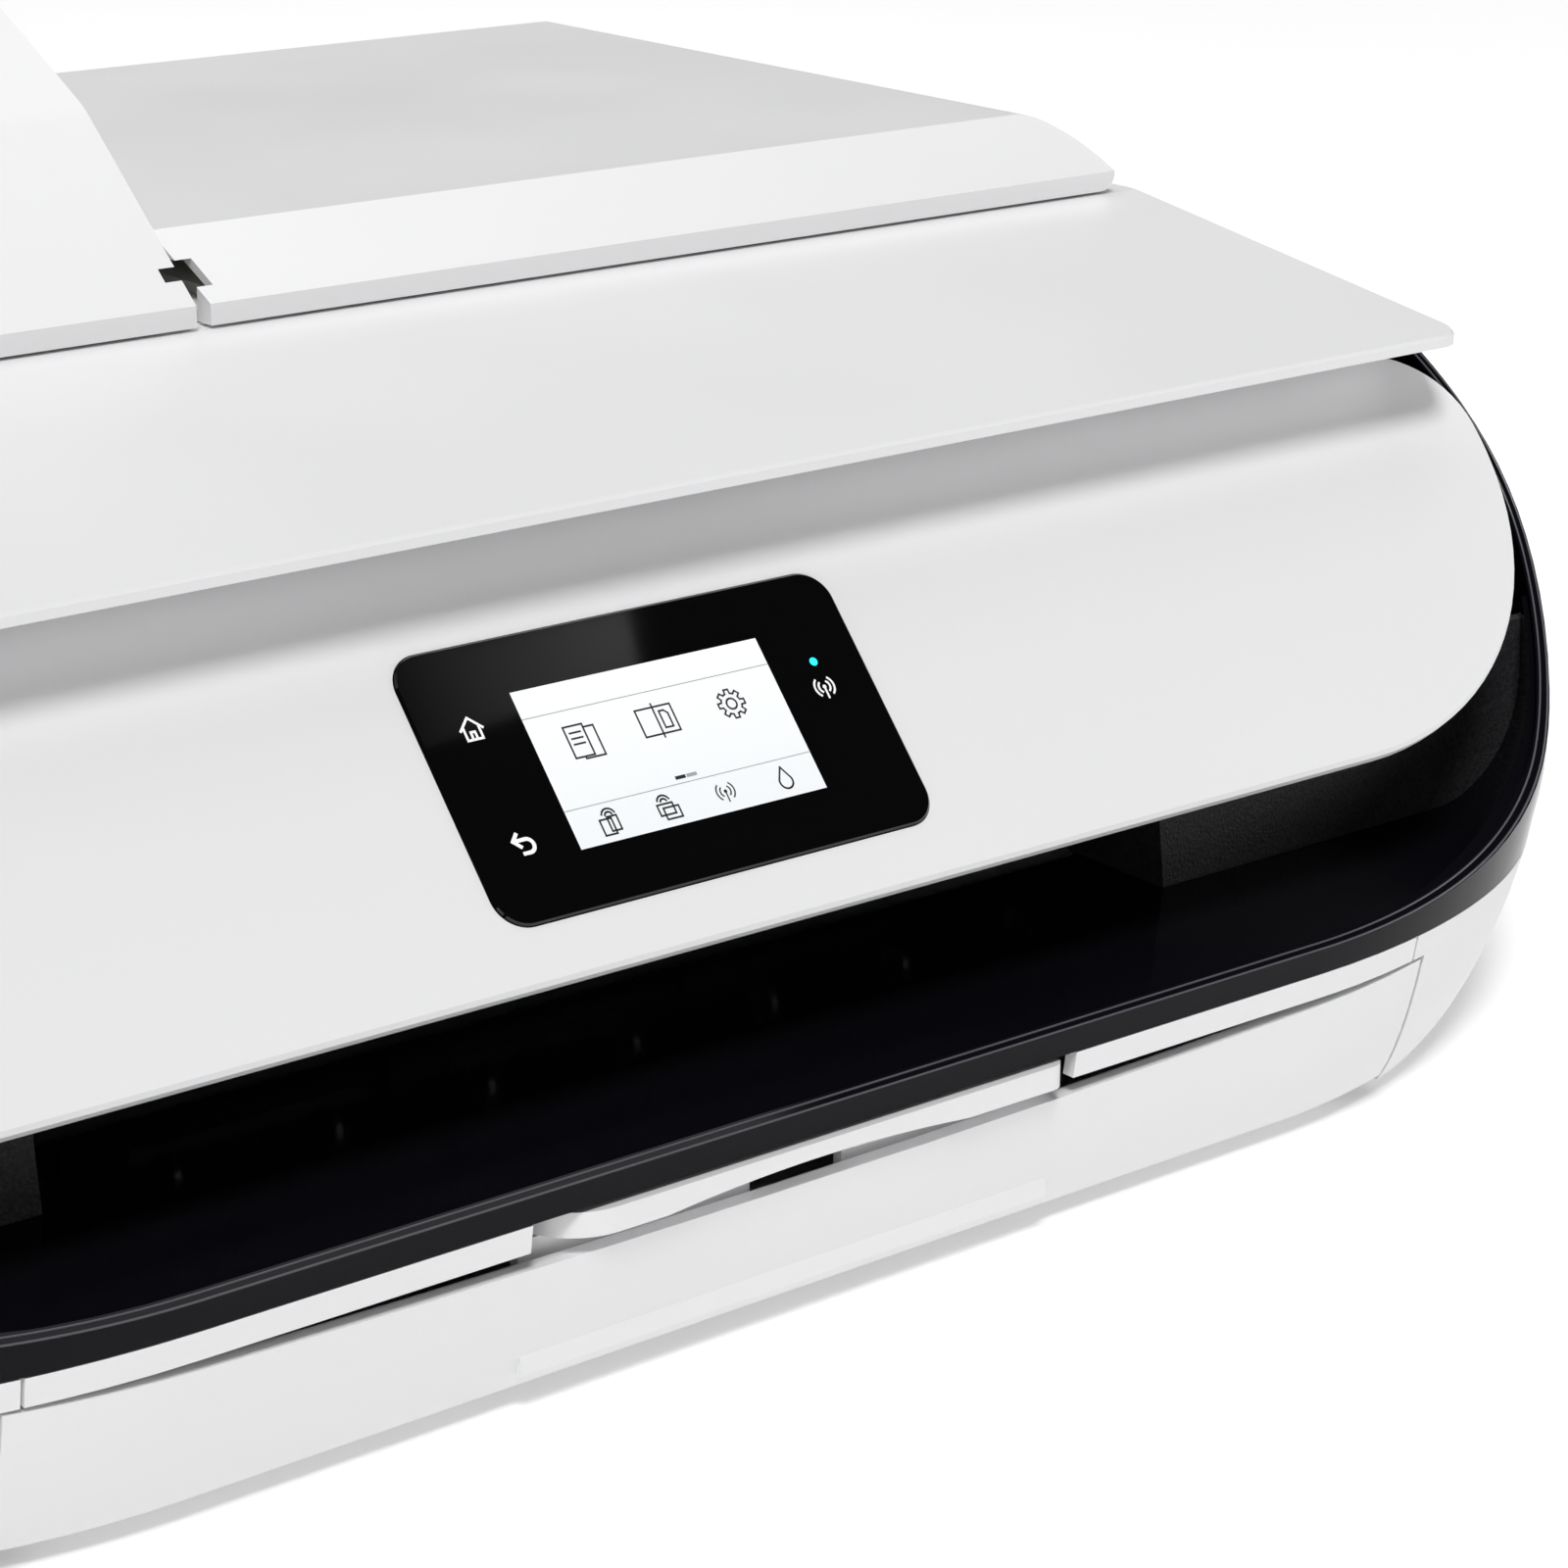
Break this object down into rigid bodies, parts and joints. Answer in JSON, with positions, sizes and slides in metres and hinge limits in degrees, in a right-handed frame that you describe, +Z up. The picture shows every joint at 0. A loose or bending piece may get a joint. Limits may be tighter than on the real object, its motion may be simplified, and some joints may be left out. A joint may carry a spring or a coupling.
{
  "type": "inkjet printer",
  "caption": "Inkjet printer with scanner lid, document feeder, sloped white front panel with touch display, open paper exit and pull-out tray.",
  "frame": {"origin": "middle of the body's footprint on the table", "axes": "+X to the user's right, +Y to the rear, +Z up; the front panel faces -Y"},
  "size_m": [0.4452, 0.3676, 0.191],
  "materials": {
    "white_shell": "fine satin",
    "white_inner": "matt",
    "gloss_black": "high gloss",
    "textured_grey": "spark-eroded texture",
    "display_glass": "gloss",
    "display_face": "lit display",
    "grey_plastic": "matt",
    "acetal": "waxy",
    "roller_rubber": "ground rubber",
    "pinion_brass": "machined",
    "motor_steel": "zinc plated",
    "dark_plastic": "matt",
    "galvanised": "galvanised",
    "star_steel": "stamped",
    "cartridge_case": "matt",
    "belt_rubber": "toothed belt",
    "pulley_metal": "machined",
    "clear_film": "polyester film",
    "soft_rubber": "soft rubber",
    "rod_steel": "ground",
    "flat_glass": "float glass",
    "pad_foam": "white film on foam",
    "board": "solder mask",
    "port_metal": "tinned",
    "screw_steel": "zinc plated"
  },
  "bodies": {
    "body": {"base_shell": "white_shell", "body_housing": "gloss_black", "mouth_deck": "gloss_black", "side_block_left": "textured_grey", "side_block_right": "textured_grey", "feed_motor": "motor_steel", "pick_arm": "dark_plastic", "chassis": "galvanised", "platen": "dark_plastic", "star_wheel_bar": "dark_plastic", "star_wheels": "star_steel", "turn_guide": "dark_plastic", "carriage_belt": "belt_rubber", "carriage_motor": "motor_steel", "encoder_strip": "clear_film", "service_station": "dark_plastic", "rubber_caps": "soft_rubber", "scanner_bed": "dark_plastic", "scan_rod": "rod_steel", "scanner_glass": "flat_glass", "main_board": "board", "ports": "port_metal", "port_shield": "galvanised", "power_supply": "dark_plastic", "power_inlet": "dark_plastic", "feet": "soft_rubber", "screws": "screw_steel"},
    "panel": {"front_panel": "white_shell", "display_bezel": "display_glass", "display_module": "display_face"},
    "button": {"power_button": "gloss_black"},
    "tray": {"paper_tray": "white_shell"},
    "extender": {"tray_extender": "white_shell"},
    "guide_right": {"width_guide_right": "grey_plastic"},
    "guide_left": {"width_guide_left": "grey_plastic"},
    "guide_gear": {"guide_pinion": "acetal"},
    "length_stop": {"length_guide": "grey_plastic"},
    "output_roller": {"output_shaft": "roller_rubber"},
    "feed_roller": {"feed_shaft": "roller_rubber"},
    "idler": {"idler_gear": "acetal"},
    "motor_gear": {"motor_pinion": "pinion_brass"},
    "pick_roller": {"pick_rollers": "roller_rubber"},
    "carriage": {"carriage": "dark_plastic", "cartridge_tricolour": "cartridge_case", "cartridge_black": "cartridge_case"},
    "latch_left": {"latch_tricolour": "grey_plastic"},
    "latch_right": {"latch_black": "grey_plastic"},
    "belt_drive": {"drive_pulley": "pulley_metal"},
    "belt_idler": {"idler_pulley": "pulley_metal"},
    "head": {"scan_head": "dark_plastic"},
    "lid": {"scanner_lid": "white_shell", "lid_pad": "pad_foam", "feeder_base": "white_inner"},
    "cover": {"feeder_cover": "white_shell"},
    "flap": {"feeder_flap": "white_shell"},
    "drum": {"feeder_drum": "roller_rubber"},
    "feeder_roller": {"feeder_pick": "roller_rubber"},
    "feeder_guide_a": {"feeder_guide_front": "grey_plastic"},
    "feeder_guide_b": {"feeder_guide_rear": "grey_plastic"},
    "rear_door": {"rear_door": "dark_plastic"}
  },
  "joints": [
    {"name": "lid_hinge", "type": "hinge", "parent": "body", "child": "lid", "pos_m": [0, 0.174, 0.1295], "axis": [-1, 0, 0], "range_deg": [0, 60]},
    {"name": "feeder_cover_hinge", "type": "hinge", "parent": "lid", "child": "cover", "pos_m": [-0.1834, 0.06, 0.1452], "axis": [0, -1, 0], "range_deg": [0, 60]},
    {"name": "feeder_flap_hinge", "type": "hinge", "parent": "lid", "child": "flap", "pos_m": [0.1834, 0.06, 0.1452], "axis": [0, 1, 0], "range_deg": [0, 104]},
    {"name": "feeder_drum_spin", "type": "hinge", "parent": "lid", "child": "drum", "pos_m": [-0.102, 0.07, 0.163], "axis": [0, 1, 0], "continuous": true},
    {"name": "feeder_pick_spin", "type": "hinge", "parent": "lid", "child": "feeder_roller", "pos_m": [-0.072, 0.07, 0.163], "axis": [0, 1, 0], "continuous": true},
    {"name": "feeder_guide_front_slide", "type": "slide", "parent": "lid", "child": "feeder_guide_a", "axis": [0, 1, 0], "range_m": [0, 0.042]},
    {"name": "feeder_guide_rear_slide", "type": "slide", "parent": "lid", "child": "feeder_guide_b", "axis": [0, 1, 0], "range_m": [-0.042, 0]},
    {"name": "front_panel_hinge", "type": "hinge", "parent": "body", "child": "panel", "pos_m": [0, -0.11255, 0.11444], "axis": [-1, 0, 0], "range_deg": [0, 38]},
    {"name": "power_button_press", "type": "slide", "parent": "panel", "child": "button", "axis": [0, 0.7373, -0.6756], "range_m": [0, 0.001], "stiffness_N_per_m": 400},
    {"name": "paper_tray_slide", "type": "slide", "parent": "body", "child": "tray", "axis": [0, -1, 0], "range_m": [0, 0.19]},
    {"name": "extender_swing", "type": "hinge", "parent": "tray", "child": "extender", "pos_m": [-0.039, -0.1716, 0.032], "axis": [0, 0, -1], "range_deg": [0, 90]},
    {"name": "width_guide_right_slide", "type": "slide", "parent": "tray", "child": "guide_right", "axis": [-1, 0, 0], "range_m": [0, 0.048]},
    {"name": "width_guide_left_slide", "type": "slide", "parent": "tray", "child": "guide_left", "axis": [1, 0, 0], "range_m": [0, 0.048]},
    {"name": "guide_pinion_spin", "type": "hinge", "parent": "tray", "child": "guide_gear", "pos_m": [0, 0.006, 0.01], "axis": [0, 0, 1], "range_deg": [0, 344]},
    {"name": "length_guide_slide", "type": "slide", "parent": "tray", "child": "length_stop", "axis": [0, -1, 0], "range_m": [0, 0.046]},
    {"name": "feed_shaft_spin", "type": "hinge", "parent": "body", "child": "feed_roller", "pos_m": [0, -0.04, 0.044], "axis": [1, 0, 0], "continuous": true},
    {"name": "output_shaft_spin", "type": "hinge", "parent": "body", "child": "output_roller", "pos_m": [0, -0.11, 0.044], "axis": [1, 0, 0], "continuous": true},
    {"name": "idler_gear_spin", "type": "hinge", "parent": "body", "child": "idler", "pos_m": [-0.146, -0.075, 0.044], "axis": [1, 0, 0], "continuous": true},
    {"name": "motor_pinion_spin", "type": "hinge", "parent": "body", "child": "motor_gear", "pos_m": [-0.146, -0.025, 0.06998], "axis": [1, 0, 0], "continuous": true},
    {"name": "pick_roller_spin", "type": "hinge", "parent": "body", "child": "pick_roller", "pos_m": [0, 0.06, 0.0395], "axis": [1, 0, 0], "continuous": true},
    {"name": "carriage_slide", "type": "slide", "parent": "body", "child": "carriage", "axis": [-1, 0, 0], "range_m": [0, 0.258]},
    {"name": "latch_left_hinge", "type": "hinge", "parent": "carriage", "child": "latch_left", "pos_m": [0.1355, -0.067, 0.084], "axis": [-1, 0, 0], "range_deg": [0, 22]},
    {"name": "latch_right_hinge", "type": "hinge", "parent": "carriage", "child": "latch_right", "pos_m": [0.1645, -0.067, 0.084], "axis": [-1, 0, 0], "range_deg": [0, 22]},
    {"name": "drive_pulley_spin", "type": "hinge", "parent": "body", "child": "belt_drive", "pos_m": [0.198, -0.0525, 0.084], "axis": [0, 0, 1], "range_deg": [0, 2956.5]},
    {"name": "idler_pulley_spin", "type": "hinge", "parent": "body", "child": "belt_idler", "pos_m": [-0.198, -0.0525, 0.084], "axis": [0, 0, 1], "range_deg": [0, 2956.5]},
    {"name": "scan_head_slide", "type": "slide", "parent": "body", "child": "head", "axis": [1, 0, 0], "range_m": [0, 0.31]},
    {"name": "rear_door_hinge", "type": "hinge", "parent": "body", "child": "rear_door", "pos_m": [0, 0.18175, 0.0445], "axis": [-1, 0, 0], "range_deg": [0, 80]}
  ],
  "couplings": [
    {"joint": "feeder_pick_spin", "follows": "feeder_drum_spin", "ratio": -1.5},
    {"joint": "feeder_guide_rear_slide", "follows": "feeder_guide_front_slide", "ratio": -1},
    {"joint": "width_guide_left_slide", "follows": "width_guide_right_slide", "ratio": 1},
    {"joint": "guide_pinion_spin", "follows": "width_guide_right_slide", "rad_per_m": 125},
    {"joint": "output_shaft_spin", "follows": "feed_shaft_spin", "ratio": 1},
    {"joint": "idler_gear_spin", "follows": "feed_shaft_spin", "ratio": -1.6923},
    {"joint": "motor_pinion_spin", "follows": "feed_shaft_spin", "ratio": -2.75},
    {"joint": "drive_pulley_spin", "follows": "carriage_slide", "rad_per_m": 200},
    {"joint": "idler_pulley_spin", "follows": "carriage_slide", "rad_per_m": 200}
  ]
}
